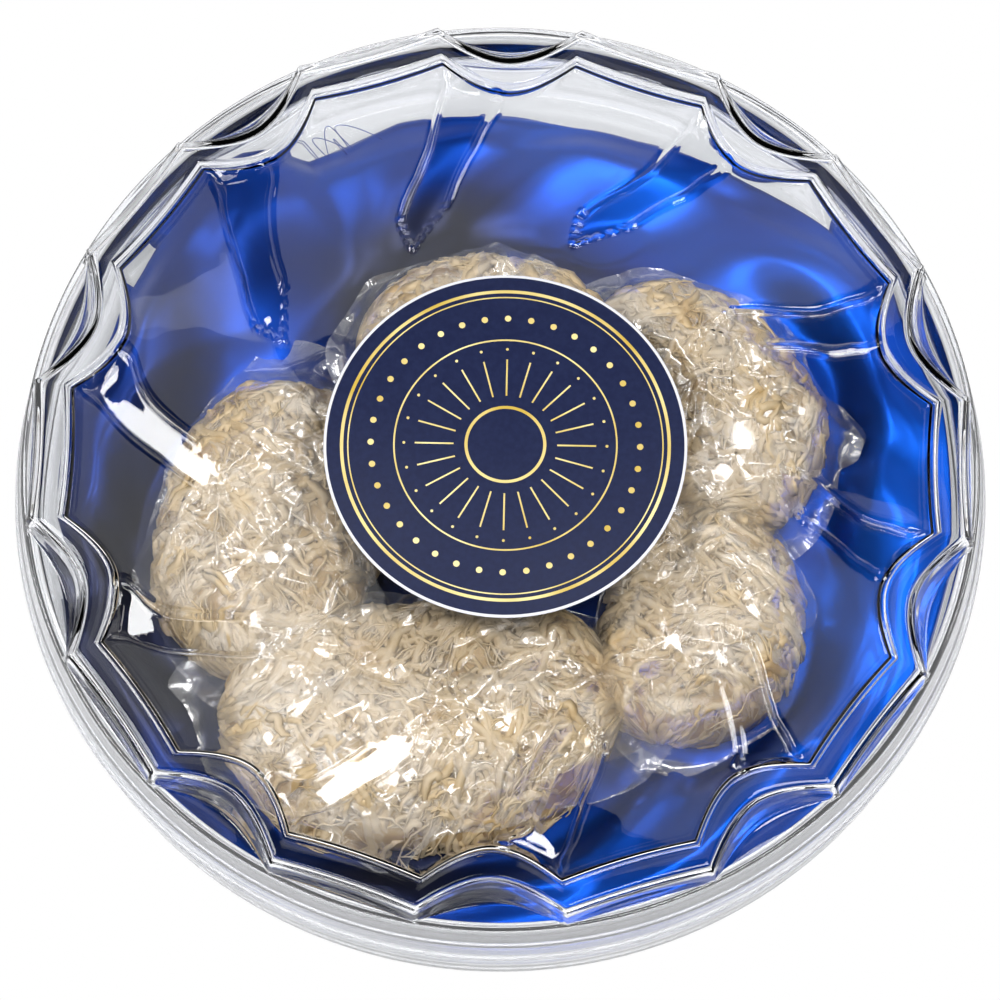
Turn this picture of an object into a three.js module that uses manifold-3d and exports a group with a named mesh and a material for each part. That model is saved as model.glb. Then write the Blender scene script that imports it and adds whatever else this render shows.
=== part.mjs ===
// Edible birds' nests in a round clear gift box, in millimetres, +Z up.
// The origin is on the surface the box stands on, under the middle of the box.
// The front of the box faces -Y.
import * as THREE from 'three';
import { mergeVertices } from 'three/addons/utils/BufferGeometryUtils.js';
import Module from 'manifold-3d';

const wasm = await Module();
wasm.setup();

// Driving dimensions of the box
const lipR = 95;              // widest radius, at the lid's lower lip
const baseFootR = 93.4;       // base wall where it meets the table
const baseShoulderR = 94.2;   // base wall under the lid's lip
const baseShoulderZ = 13.6;
const baseNeckR = 91.6;       // neck of the base inside the lid's skirt
const baseNeckTopZ = 27.6;
const baseWall = 1.3;
const skirtLowZ = 15;         // lower edge of the lid
const ledgeR = 92.8;          // round shoulder of the lid
const ledgeZ = 30;
const lidTopZ = 34.5;         // flat rim band
const panelZ = 33.2;          // sunk panel inside the rim band
const lidWall = 1.1;
const rimBandWidth = 6.2;

// Scalloped lid: ten hollow lobes between ten nearly straight sides
const lobeCount = 10;
const lobeFrontAngle = -90;   // one hollow lobe faces the front
const lobeHalfAngle = 9;
const cornerFootR = 92.4;
const cornerTopR = 91.8;
const hollowFootR = 86.9;
const hollowTopR = 84.6;
const sideSag = 1.7;          // how far a straight side lies inside its corners

// Ten curved petals pressed into the lid's panel
const petalOuterR = 78.5;
const petalInnerR = 54;
const petalStartAngle = 4.5;
const petalEndAngle = 18;
const petalOuterWidth = 6.4;
const petalInnerWidth = 8.4;
const petalTipLength = 4.5;
const petalDepth = 0.5;

// Round label stuck on the panel
const labelR = 35.1;
const labelThickness = 0.3;
const labelX = 0.9;
const labelY = 3;

// Satin lining in the base
const fit = 0.3;              // air left between pieces that touch
const liningSeatZ = 7;        // top of the cloth under the nests
const liningFrontR = 89.2;
const liningBackR = 86.2;
const liningFrontZ = 17;      // top of the cloth roll against the wall
const liningBackZ = 9;
const foldCount = 13;
const foldHeight = 1.3;

// The nests lie in a ring: place, direction of the long axis, length, width, height
const nestPlaces = [
  { x: -15, y: -48.8, turn: 4, length: 76, width: 44, height: 21, bend: 0.1 },
  { x: 46.8, y: -30.6, turn: 64, length: 56, width: 38, height: 20, bend: 0.1 },
  { x: 40.7, y: 25.5, turn: 123, length: 56, width: 36, height: 21, bend: 0.1 },
  { x: -12.5, y: 33, turn: 183, length: 54, width: 36, height: 18, bend: 0.1 },
  { x: -50.8, y: -5.4, turn: 260, length: 57, width: 35, height: 20, bend: 0.1 },
];
const nestStations = 13;
const filmGap = 0.7;
const filmThickness = 0.4;

const rad = THREE.MathUtils.degToRad;

// Closed body through a stack of loops with the same number of points each;
// the first and the last loop are closed by a fan round their middle.
function loft(loops) {
  const count = loops[0].length;
  const positions = [];
  for (const loop of loops) for (const p of loop) positions.push(p.x, p.y, p.z);
  const middle = (loop) => loop.reduce((sum, p) => sum.add(p), new THREE.Vector3()).divideScalar(count);
  const first = middle(loops[0]);
  const last = middle(loops[loops.length - 1]);
  positions.push(first.x, first.y, first.z, last.x, last.y, last.z);
  const firstIndex = loops.length * count;
  const lastIndex = firstIndex + 1;
  const index = [];
  for (let i = 0; i < count; i++) {
    const j = (i + 1) % count;
    for (let row = 0; row < loops.length - 1; row++) {
      const a = row * count + i;
      const b = row * count + j;
      index.push(a, b, b + count, a, b + count, a + count);
    }
    const top = (loops.length - 1) * count;
    index.push(firstIndex, j, i, lastIndex, top + i, top + j);
  }
  const geometry = new THREE.BufferGeometry();
  geometry.setAttribute('position', new THREE.Float32BufferAttribute(positions, 3));
  geometry.setIndex(index);
  geometry.computeVertexNormals();
  return geometry;
}

// Body of revolution about Z from [radius, height] pairs, going round anticlockwise
function revolve(profile, segments = 60) {
  const points = profile.map(([r, z]) => new THREE.Vector2(r, z));
  return new THREE.LatheGeometry(points, segments).rotateX(Math.PI / 2);
}

function toSolid(geometry) {
  const bare = new THREE.BufferGeometry();
  bare.setAttribute('position', geometry.getAttribute('position').clone());
  if (geometry.index) bare.setIndex(geometry.index.clone());
  const merged = mergeVertices(bare, 1e-4);
  const vertProperties = new Float32Array(merged.getAttribute('position').array);
  const triVerts = new Uint32Array(merged.index.array);
  return new wasm.Manifold(new wasm.Mesh({ numProp: 3, vertProperties, triVerts }));
}

function toGeometry(solid) {
  const mesh = solid.getMesh();
  const geometry = new THREE.BufferGeometry();
  geometry.setAttribute('position', new THREE.Float32BufferAttribute(mesh.vertProperties, 3));
  geometry.setIndex(Array.from(mesh.triVerts));
  geometry.computeVertexNormals();
  return geometry;
}

function polar(radius, degrees, z) {
  return new THREE.Vector3(radius * Math.cos(rad(degrees)), radius * Math.sin(rad(degrees)), z);
}

// A bowed edge between two corners whose middle lies at the given radius
function bowedEdge(from, to, middleRadius, steps, z) {
  const start = polar(from.radius, from.angle, z);
  const end = polar(to.radius, to.angle, z);
  const middle = polar(middleRadius, (from.angle + to.angle) / 2, z);
  const control = middle.multiplyScalar(2).sub(start.clone().add(end).multiplyScalar(0.5));
  return new THREE.QuadraticBezierCurve3(start, control, end).getPoints(steps).slice(0, steps);
}

// Scalloped outline at one height, moved inwards by inset
function scallop(cornerR, hollowR, z, inset = 0) {
  const corner = cornerR - inset;
  const pitch = 360 / lobeCount;
  const points = [];
  for (let k = 0; k < lobeCount; k++) {
    const middle = lobeFrontAngle + k * pitch;
    const left = { radius: corner, angle: middle - lobeHalfAngle };
    const right = { radius: corner, angle: middle + lobeHalfAngle };
    const next = { radius: corner, angle: middle + pitch - lobeHalfAngle };
    points.push(...bowedEdge(left, right, hollowR - inset, 6, z));
    points.push(...bowedEdge(right, next, corner - sideSag, 2, z));
  }
  return points;
}

// Clear base: flat floor, low wall, shoulder under the lid's lip, neck inside the skirt
function makeBase() {
  const neckInnerR = baseNeckR - baseWall;
  return revolve([
    [0, 0], [baseFootR - 1, 0], [baseFootR, 1], [baseShoulderR, baseShoulderZ],
    [baseNeckR + 0.6, baseShoulderZ + 0.6], [baseNeckR, baseNeckTopZ], [neckInnerR, baseNeckTopZ],
    [neckInnerR, baseShoulderZ], [baseFootR - baseWall - 1.6, baseWall], [0, baseWall],
  ]);
}

// One petal between two swept sides, rounded at its inner end
function petalOutline(middleAngle) {
  const side = (sign) => [0, 0.5, 1].map((t) => {
    const radius = THREE.MathUtils.lerp(petalOuterR, petalInnerR, t);
    const width = THREE.MathUtils.lerp(petalOuterWidth, petalInnerWidth, t);
    const angle = middleAngle + THREE.MathUtils.lerp(petalStartAngle, petalEndAngle, t);
    const half = THREE.MathUtils.radToDeg(width / 2 / radius);
    return polar(radius, angle + sign * half, 0);
  });
  const left = side(-1);
  const right = side(1);
  const tip = polar(petalInnerR - petalTipLength, middleAngle + petalEndAngle + 1, 0);
  const shape = new THREE.Shape();
  shape.moveTo(left[0].x, left[0].y);
  shape.quadraticCurveTo(left[1].x, left[1].y, left[2].x, left[2].y);
  shape.quadraticCurveTo(tip.x, tip.y, right[2].x, right[2].y);
  shape.quadraticCurveTo(right[1].x, right[1].y, right[0].x, right[0].y);
  return shape;
}

function makeLid() {
  const skirt = toSolid(revolve([
    [0, skirtLowZ], [lipR, skirtLowZ], [lipR, skirtLowZ + 1.6], [lipR - 1.1, 21.5],
    [ledgeR, ledgeZ - 0.6], [ledgeR - 0.6, ledgeZ], [0, ledgeZ],
  ]));
  const skirtInside = toSolid(revolve([
    [0, skirtLowZ - 1], [lipR - lidWall, skirtLowZ - 1], [lipR - lidWall, skirtLowZ + 1.6],
    [lipR - 1.1 - lidWall, 21.5], [ledgeR - lidWall, ledgeZ - lidWall], [0, ledgeZ - lidWall],
  ]));
  const crown = toSolid(loft([
    scallop(cornerFootR, hollowFootR, ledgeZ - lidWall / 2),
    scallop(cornerFootR, hollowFootR, ledgeZ),
    scallop(cornerTopR, hollowTopR, lidTopZ),
  ]));
  const crownInside = toSolid(loft([
    scallop(cornerFootR, hollowFootR, ledgeZ - lidWall - 1, lidWall),
    scallop(cornerFootR, hollowFootR, ledgeZ - lidWall, lidWall),
    scallop(cornerTopR, hollowTopR, panelZ - lidWall, lidWall),
  ]));
  const panelCut = toSolid(loft([
    scallop(cornerTopR, hollowTopR, panelZ, rimBandWidth + 0.5),
    scallop(cornerTopR, hollowTopR, lidTopZ + 1, rimBandWidth),
  ]));
  let lid = skirt.subtract(skirtInside).add(crown).subtract(crownInside).subtract(panelCut);
  for (let k = 0; k < lobeCount; k++) {
    const outline = petalOutline(lobeFrontAngle + k * 360 / lobeCount);
    const petal = new THREE.ExtrudeGeometry(outline, { depth: 1, bevelEnabled: false, curveSegments: 5 });
    lid = lid.subtract(toSolid(petal.translate(0, 0, panelZ - petalDepth)));
  }
  return toGeometry(lid);
}

function makeLabel() {
  const low = panelZ + fit;
  const disc = revolve([[0, low], [labelR, low], [labelR, low + labelThickness], [0, low + labelThickness]]);
  return disc.translate(labelX, labelY, 0);
}

// Satin pressed into the base: flat under the nests, a soft roll with folds along the wall
function makeLining() {
  const segments = foldCount * 4;
  const low = baseWall + fit;
  const ring = (radiusShare, height) => {
    const points = [];
    for (let i = 0; i < segments; i++) {
      const angle = i * 360 / segments;
      const back = (1 + Math.sin(rad(angle))) / 2;
      const edgeR = THREE.MathUtils.lerp(liningFrontR, liningBackR, back);
      const rollZ = THREE.MathUtils.lerp(liningFrontZ, liningBackZ, back);
      const fold = foldHeight * Math.cos(rad(angle * foldCount));
      points.push(polar(edgeR * radiusShare, angle, height(rollZ, fold)));
    }
    return points;
  };
  return loft([
    ring(0.4, () => low),
    ring(0.955, () => low),
    ring(0.985, () => low + 3),
    ring(1, (roll, fold) => (low + roll) / 2 + fold / 2),
    ring(0.99, (roll, fold) => roll - 1.5 + fold),
    ring(0.96, (roll, fold) => roll + fold),
    ring(0.93, (roll, fold) => roll - 2.2 + fold / 2),
    ring(0.9, () => liningSeatZ),
    ring(0.4, () => liningSeatZ),
  ]);
}

// Height of a nest's top across its width, from -1 at the inner side to 1 at the outer side:
// a fibrous outer wall, its ridge, and the hollow of the half cup towards the middle of the box.
function nestCrossHeight(across) {
  const dome = Math.sqrt(Math.max(0, 1 - across * across));
  const hollow = 0.34 * Math.exp(-(((across + 0.34) / 0.26) ** 2));
  return dome - hollow * dome;
}

// Half width and height of a nest at a distance x from its middle, grown all round by grow
function nestReach(place, x, grow) {
  const along = Math.min(1, Math.abs(x) / (place.length / 2 + grow));
  const taper = Math.pow(1 - Math.pow(along, 2.6), 0.55);
  return { half: (place.width / 2 + grow) * taper, high: (place.height + grow) * Math.pow(taper, 0.8) };
}

// Loop across a nest at x, from [across, height] pairs, on the nest's bent middle line
function nestLoop(place, x, pairs) {
  const along = x / (place.length / 2);
  const bend = place.bend * place.width * (along * along - 0.5);
  return pairs.map(([across, z]) => new THREE.Vector3(x, across + bend, z));
}

// Places of the loops along a body that reaches halfLength each way
function stations(halfLength, count) {
  return Array.from({ length: count }, (_, i) => -halfLength * Math.cos(Math.PI * (i + 0.5) / count));
}

function placeNest(geometry, place) {
  return geometry.rotateZ(rad(place.turn)).translate(place.x, place.y, liningSeatZ + fit);
}

function makeNest(place) {
  const topSteps = 11;
  const loops = stations(place.length / 2, nestStations).map((x) => {
    const { half, high } = nestReach(place, x, 0);
    const pairs = [];
    for (let j = 0; j <= topSteps; j++) {
      const across = Math.cos(Math.PI * j / topSteps);
      pairs.push([across * half, high * nestCrossHeight(-across)]);
    }
    pairs.push([-half * 0.45, 0], [half * 0.45, 0]);
    return nestLoop(place, x, pairs);
  });
  return placeNest(loft(loops), place);
}

// Clear film laid over a nest: an open-bottomed shell of even thickness
function makeFilm(place) {
  const steps = 9;
  const arc = (reach) => Array.from({ length: steps + 1 }, (_, j) => {
    const turn = Math.PI * j / steps;
    return [reach.half * Math.cos(turn), reach.high * Math.sin(turn)];
  });
  const inner = stations(place.length / 2 + filmGap, nestStations);
  const end = place.length / 2 + filmGap + filmThickness / 2;
  const loops = [-end, ...inner, end].map((x) => {
    const outside = nestReach(place, x, filmGap + filmThickness);
    const inside = nestReach(place, x, filmGap);
    const least = 0.1;
    inside.half = Math.max(inside.half, outside.half * least);
    inside.high = Math.max(inside.high, outside.high * least);
    return nestLoop(place, x, [...arc(outside), ...arc(inside).reverse()]);
  });
  return placeNest(loft(loops), place);
}

const clearPlastic = { color: 0xf2f6fa, roughness: 0.05, metalness: 0, transparent: true, opacity: 0.3 };
const materials = {
  clear: new THREE.MeshStandardMaterial(clearPlastic),
  film: new THREE.MeshStandardMaterial({ ...clearPlastic, opacity: 0.25, roughness: 0.12 }),
  label: new THREE.MeshStandardMaterial({ color: 0x1d2850, roughness: 0.35, metalness: 0 }),
  satin: new THREE.MeshStandardMaterial({ color: 0x1343a8, roughness: 0.4, metalness: 0 }),
  nest: new THREE.MeshStandardMaterial({ color: 0xe2cfab, roughness: 0.6, metalness: 0 }),
};

const box = new THREE.Group();

function add(name, geometry, material) {
  const mesh = new THREE.Mesh(geometry, material);
  mesh.name = name;
  box.add(mesh);
}

add('base', makeBase(), materials.clear);
add('lid', makeLid(), materials.clear);
add('label', makeLabel(), materials.label);
add('satin_lining', makeLining(), materials.satin);
nestPlaces.forEach((place, i) => {
  add(`nest_${i + 1}`, makeNest(place), materials.nest);
  add(`film_wrap_${i + 1}`, makeFilm(place), materials.film);
});

export default box;
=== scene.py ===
"""Looks of the boxed edible birds' nests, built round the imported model, in metres, +Z up."""
import math
import random

import bmesh
import bpy
import numpy as np
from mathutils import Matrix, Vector, noise


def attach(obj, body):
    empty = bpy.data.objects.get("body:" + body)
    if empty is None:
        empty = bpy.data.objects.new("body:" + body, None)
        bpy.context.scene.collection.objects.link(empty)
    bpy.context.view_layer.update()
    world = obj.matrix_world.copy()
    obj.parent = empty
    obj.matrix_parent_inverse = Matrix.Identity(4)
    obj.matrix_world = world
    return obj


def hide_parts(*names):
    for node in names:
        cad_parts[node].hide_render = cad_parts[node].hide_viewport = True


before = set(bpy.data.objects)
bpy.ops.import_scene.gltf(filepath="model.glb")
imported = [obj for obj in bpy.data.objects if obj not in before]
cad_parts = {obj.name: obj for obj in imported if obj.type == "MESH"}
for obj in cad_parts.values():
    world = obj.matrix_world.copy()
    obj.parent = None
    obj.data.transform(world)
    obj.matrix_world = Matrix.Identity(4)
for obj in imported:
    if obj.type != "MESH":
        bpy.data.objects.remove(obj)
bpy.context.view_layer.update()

MM = 0.001                      # lengths below are in millimetres, lamps and camera in metres


# ---------------------------------------------------------------- node helpers
def math_node(nodes, links, operation, *values):
    """Math on numbers or sockets; gives its output."""
    node = nodes.new("ShaderNodeMath")
    node.operation = operation
    for socket, value in zip(node.inputs, values):
        if isinstance(value, (int, float)):
            socket.default_value = value
        else:
            links.new(value, socket)
    return node.outputs[0]


def mix_shaders(nodes, links, share, first, second, surface):
    """Share of a second shader over a first one, led to an output's surface."""
    mix = nodes.new("ShaderNodeMixShader")
    links.new(share, mix.inputs["Fac"])
    links.new(first, mix.inputs[1])
    links.new(second, mix.inputs[2])
    links.new(mix.outputs[0], surface)


def noise_node(nodes, links, scale, detail=3.0, roughness=0.5, vector=None):
    """Noise on Object coordinates, or on the vector that is given."""
    if vector is None:
        vector = nodes.new("ShaderNodeTexCoord").outputs["Object"]
    texture = nodes.new("ShaderNodeTexNoise")
    texture.inputs["Scale"].default_value = scale
    texture.inputs["Detail"].default_value = detail
    texture.inputs["Roughness"].default_value = roughness
    links.new(vector, texture.inputs["Vector"])
    return texture


def ramp_node(nodes, links, source, stops):
    """Colour ramp with (place, colour) stops."""
    ramp = nodes.new("ShaderNodeValToRGB")
    elements = ramp.color_ramp.elements
    while len(elements) < len(stops):
        elements.new(0.5)
    for element, (place, colour) in zip(elements, stops):
        element.position = place
        element.color = (*colour, 1)
    links.new(source, ramp.inputs["Fac"])
    return ramp


def range_node(nodes, links, source, low, high, low_from=0.0, high_from=1.0):
    """Value from one range set onto another."""
    node = nodes.new("ShaderNodeMapRange")
    node.inputs["From Min"].default_value = low_from
    node.inputs["From Max"].default_value = high_from
    node.inputs["To Min"].default_value = low
    node.inputs["To Max"].default_value = high
    links.new(source, node.inputs["Value"])
    return node


def bump_node(nodes, links, height, shader, strength, distance):
    """Bump of a height on a shader's normal; the distance is in metres."""
    bump = nodes.new("ShaderNodeBump")
    bump.inputs["Strength"].default_value = strength
    bump.inputs["Distance"].default_value = distance
    links.new(height, bump.inputs["Height"])
    links.new(bump.outputs[0], shader.inputs["Normal"])


# ---------------------------------------------------------------- camera and light
CAMERA_UP, CAMERA_TURN = 71.0, 1.16       # degrees above the table and round from the front
CAMERA_AWAY = 1.0
CAMERA_AIM = (-0.00008, 0.0, 0.0096)
CAMERA_LENS = 180.9

ROOM_TINT = (1.0, 0.97, 0.94, 1)
ROOM_LOW, ROOM_HIGH = 1.0, 0.03           # the room's strength near the table and overhead
ROOM_FROM, ROOM_TO = 0.05, 0.62           # the directions' heights between which it falls
# name, place, point it looks at, width, height, power
SOFTBOXES = (
    ("top_left_softbox", (-0.41, 0.03, 0.86), (0, 0, 0), 0.28, 0.26, 3.1),
    ("top_right_softbox", (0.18, -0.13, 0.86), (0, 0, 0), 0.24, 0.22, 2.7),
    # the three veil softboxes are mirrored by the lid's flat panel as a pale veil
    ("veil_softbox_back", (-0.02, 0.395, 0.851), (0, 0, 0.03), 0.35, 0.10, 0.078),
    ("veil_softbox_left", (-0.115, 0.245, 0.851), (0, 0, 0.03), 0.12, 0.20, 0.053),
    ("veil_softbox_front", (0.085, 0.215, 0.851), (0, 0, 0.03), 0.10, 0.14, 0.026),
    ("high_front_softbox", (-0.22, -0.52, 0.66), (0, 0, 0.01), 0.34, 0.2, 1.4),
    ("upper_right_softbox", (0.58, 0.20, 0.66), (0, 0, 0.01), 0.20, 0.34, 1.55),
    ("left_softbox", (-0.88, 0.0, 0.42), (0, 0, 0.01), 0.4, 0.7, 1.4),
    ("right_softbox", (0.9, -0.05, 0.4), (0, 0, 0.01), 0.4, 0.7, 1.1),
    ("back_softbox", (0.1, 0.85, 0.35), (0, 0, 0.01), 0.9, 0.3, 1.4),
    ("front_softbox", (-0.1, -0.8, 0.3), (0, 0, 0.01), 0.9, 0.25, 1.3))


def make_camera():
    elevation, azimuth = math.radians(CAMERA_UP), math.radians(CAMERA_TURN)
    place = CAMERA_AWAY * Vector((
        math.cos(elevation) * math.sin(azimuth),
        -math.cos(elevation) * math.cos(azimuth),
        math.sin(elevation)))
    aim = Vector(CAMERA_AIM)
    data = bpy.data.cameras.new("camera")
    data.lens = CAMERA_LENS
    data.sensor_width = 36.0
    data.clip_start, data.clip_end = 0.05, 10.0
    camera = bpy.data.objects.new("camera", data)
    camera.location = place
    camera.rotation_mode = "QUATERNION"
    camera.rotation_quaternion = (aim - place).to_track_quat("-Z", "Y")
    bpy.context.scene.collection.objects.link(camera)
    bpy.context.scene.camera = camera


def softbox(name, place, aim, width, height, power):
    """Rectangular studio light that looks from place at aim."""
    data = bpy.data.lights.new(name, "AREA")
    data.shape = "RECTANGLE"
    data.size, data.size_y = width, height
    data.energy = power
    light = bpy.data.objects.new(name, data)
    light.location = place
    light.rotation_mode = "QUATERNION"
    light.rotation_quaternion = (Vector(aim) - Vector(place)).to_track_quat("-Z", "Y")
    bpy.context.scene.collection.objects.link(light)


def make_studio():
    """White behind the box for straight rays, a dimmer room for bounced ones, and the lamps."""
    world = bpy.data.worlds.new("studio")
    world.use_nodes = True
    nodes, links = world.node_tree.nodes, world.node_tree.links
    nodes.clear()
    output = nodes.new("ShaderNodeOutputWorld")
    white = nodes.new("ShaderNodeBackground")
    white.inputs["Strength"].default_value = 1.0
    room = nodes.new("ShaderNodeBackground")
    room.inputs["Color"].default_value = ROOM_TINT
    around = nodes.new("ShaderNodeTexCoord")
    axes = nodes.new("ShaderNodeSeparateXYZ")
    links.new(around.outputs["Generated"], axes.inputs[0])
    strength = range_node(nodes, links, axes.outputs["Z"], ROOM_LOW, ROOM_HIGH, ROOM_FROM, ROOM_TO)
    links.new(strength.outputs[0], room.inputs["Strength"])
    path = nodes.new("ShaderNodeLightPath")
    bounced = math_node(nodes, links, "ADD", path.outputs["Diffuse Depth"],
                        path.outputs["Glossy Depth"])
    straight = math_node(nodes, links, "LESS_THAN", bounced, 0.5)
    mix_shaders(nodes, links, straight, room.outputs[0], white.outputs[0],
                output.inputs["Surface"])
    bpy.context.scene.world = world
    for lamp in SOFTBOXES:
        softbox(*lamp)


# ---------------------------------------------------------------- material helpers
CAUGHT_BOUNCES = 6.5            # a ray with more bounces is caught inside a clear wall
PLASTIC_BEND = 1.5              # how strongly the clear plastic bends light
PLASTIC_RIPPLES = (22.0, 3.0, 0.45)
RIPPLE_HEIGHT = 0.0006          # metres
WALL_TINT = (0.94, 0.95, 0.975)
WALL_RIPPLE = 0.1


def new_material(name):
    """Empty node material with a Principled surface."""
    material = bpy.data.materials.new(name)
    material.use_nodes = True
    nodes, links = material.node_tree.nodes, material.node_tree.links
    nodes.clear()
    output = nodes.new("ShaderNodeOutputMaterial")
    shader = nodes.new("ShaderNodeBsdfPrincipled")
    links.new(shader.outputs[0], output.inputs["Surface"])
    return material, nodes, links, shader, output


def free_caught_rays(nodes, links, shader, output):
    """Rays that were caught inside a clear wall for several bounces leave it straight."""
    path = nodes.new("ShaderNodeLightPath")
    caught = math_node(nodes, links, "GREATER_THAN", path.outputs["Ray Depth"], CAUGHT_BOUNCES)
    open_way = nodes.new("ShaderNodeBsdfTransparent")
    mix_shaders(nodes, links, caught, shader.outputs[0], open_way.outputs[0],
                output.inputs["Surface"])


def clear_plastic_material(name, tint, ripple, clearness=1.0):
    """Moulded clear plastic with faint ripples."""
    material, nodes, links, shader, output = new_material(name)
    shader.inputs["Base Color"].default_value = (*tint, 1)
    shader.inputs["Transmission Weight"].default_value = clearness
    shader.inputs["IOR"].default_value = PLASTIC_BEND
    shader.inputs["Roughness"].default_value = 0.0
    flow = noise_node(nodes, links, *PLASTIC_RIPPLES)
    bump_node(nodes, links, flow.outputs["Fac"], shader, ripple, RIPPLE_HEIGHT)
    free_caught_rays(nodes, links, shader, output)
    return material


# ---------------------------------------------------------------- mesh helpers
def spun(profile, steps):
    """Full turn about Z of (radius, height) points; every vertex keeps its row number."""
    bm = bmesh.new()
    row = bm.verts.layers.int.new("row")
    verts = []
    for number, (radius, height) in enumerate(profile):
        vert = bm.verts.new((radius, 0, height))
        vert[row] = number
        verts.append(vert)
    edges = [bm.edges.new(pair) for pair in zip(verts, verts[1:])]
    bmesh.ops.spin(bm, geom=verts + edges, cent=(0, 0, 0), axis=(0, 0, 1),
                   angle=2 * math.pi, steps=steps, use_merge=True)
    bmesh.ops.remove_doubles(bm, verts=bm.verts, dist=1e-5)
    return bm, row


def finish_piece(bm, name, material, nodes_replaced, outward=True):
    """Mesh in millimetres made a piece of the box in metres."""
    if outward:
        bmesh.ops.recalc_face_normals(bm, faces=bm.faces)
    bmesh.ops.scale(bm, vec=(MM, MM, MM), verts=bm.verts)
    mesh = bpy.data.meshes.new(name)
    bm.to_mesh(mesh)
    bm.free()
    mesh.polygons.foreach_set("use_smooth", [True] * len(mesh.polygons))
    piece = bpy.data.objects.new(name, mesh)
    piece.data.materials.append(material)
    bpy.context.scene.collection.objects.link(piece)
    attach(piece, "root")
    if nodes_replaced:
        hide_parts(*nodes_replaced)
    return piece


def milky_walls(piece, zones):
    """Duller plastic where walls are seen on edge: each zone's lower and upper limit, the
    radius it begins at, and how clear it is."""
    for slot, (low, top, inside, clearness) in enumerate(zones, 1):
        name = f"{piece.name}_wall_{slot}"
        dull = clear_plastic_material(name, WALL_TINT, WALL_RIPPLE, clearness)
        piece.data.materials.append(dull)
        for face in piece.data.polygons:
            radius = math.hypot(face.center.x, face.center.y)
            if low * MM < face.center.z < top * MM and radius > inside * MM:
                face.material_index = slot


def smoothstep(x, low=0.0, high=1.0):
    """0 up to a low limit, 1 from a high one, and a soft rise between."""
    t = np.clip((np.asarray(x, float) - low) / (high - low), 0, 1)
    return t * t * (3 - 2 * t)


# ---------------------------------------------------------------- lid
LOBES = 10
PITCH = 36.0                    # degrees from one hollow of the scalloped edge to the next
FRONT = -90.0                   # direction of the first hollow
COLUMNS = 40                    # mesh columns in one lobe
COLUMN_NUMBERS = np.arange(COLUMNS) - 9
CORNER_FOOT, CORNER_TOP = 92.4, 91.8    # radius of the crown's corners at its foot and its top
HOLLOW_FOOT, HOLLOW_TOP = 86.9, 84.6    # the same for the hollows between them
HALF_LOBE = 9.0                 # half a hollow, in degrees
HOLLOW_ROUNDING = 1.9
SIDE_SAG = 1.7                  # how far a side bows in between two corners
LEDGE_R = 92.2
LEDGE_Z, RIM_RISE = 30, 4.2
LID_WALL = 1.1                  # the wall's thickness
PANEL_IN = 62.0                 # the panel's rows are round inside this radius
PANEL_FOOT = 6.9                # foot of the step, inside the scalloped edge
PANEL_Z = 33.2
PETAL_FLOOR = (-0.2, 0.35, 1.65)  # depth of a petal's floor at one side, part way and the other
PETAL_BEAD = 0.5                # height of the bead along a petal's edge
PETAL_TIP, PETAL_TIP_ROUND = 51, 7      # radius of a petal's inner tip, and how round it is
PETAL_SHIFT = -4.0              # the petals' pattern sits a little towards the front


def scallop_radius(angle, foot_to_top):
    """Radius of the scalloped edge at angles from a hollow's middle, in degrees."""
    corner = CORNER_FOOT + (CORNER_TOP - CORNER_FOOT) * foot_to_top
    hollow = HOLLOW_FOOT + (HOLLOW_TOP - HOLLOW_FOOT) * foot_to_top
    a = (angle + HALF_LOBE) % PITCH - HALF_LOBE
    in_hollow = hollow + (corner - hollow) * np.abs(a / HALF_LOBE) ** HOLLOW_ROUNDING
    b = (a - PITCH / 2) / HALF_LOBE
    on_side = corner - SIDE_SAG * (1 - b * b)
    return np.where(a <= HALF_LOBE, in_hollow, on_side)


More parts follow.
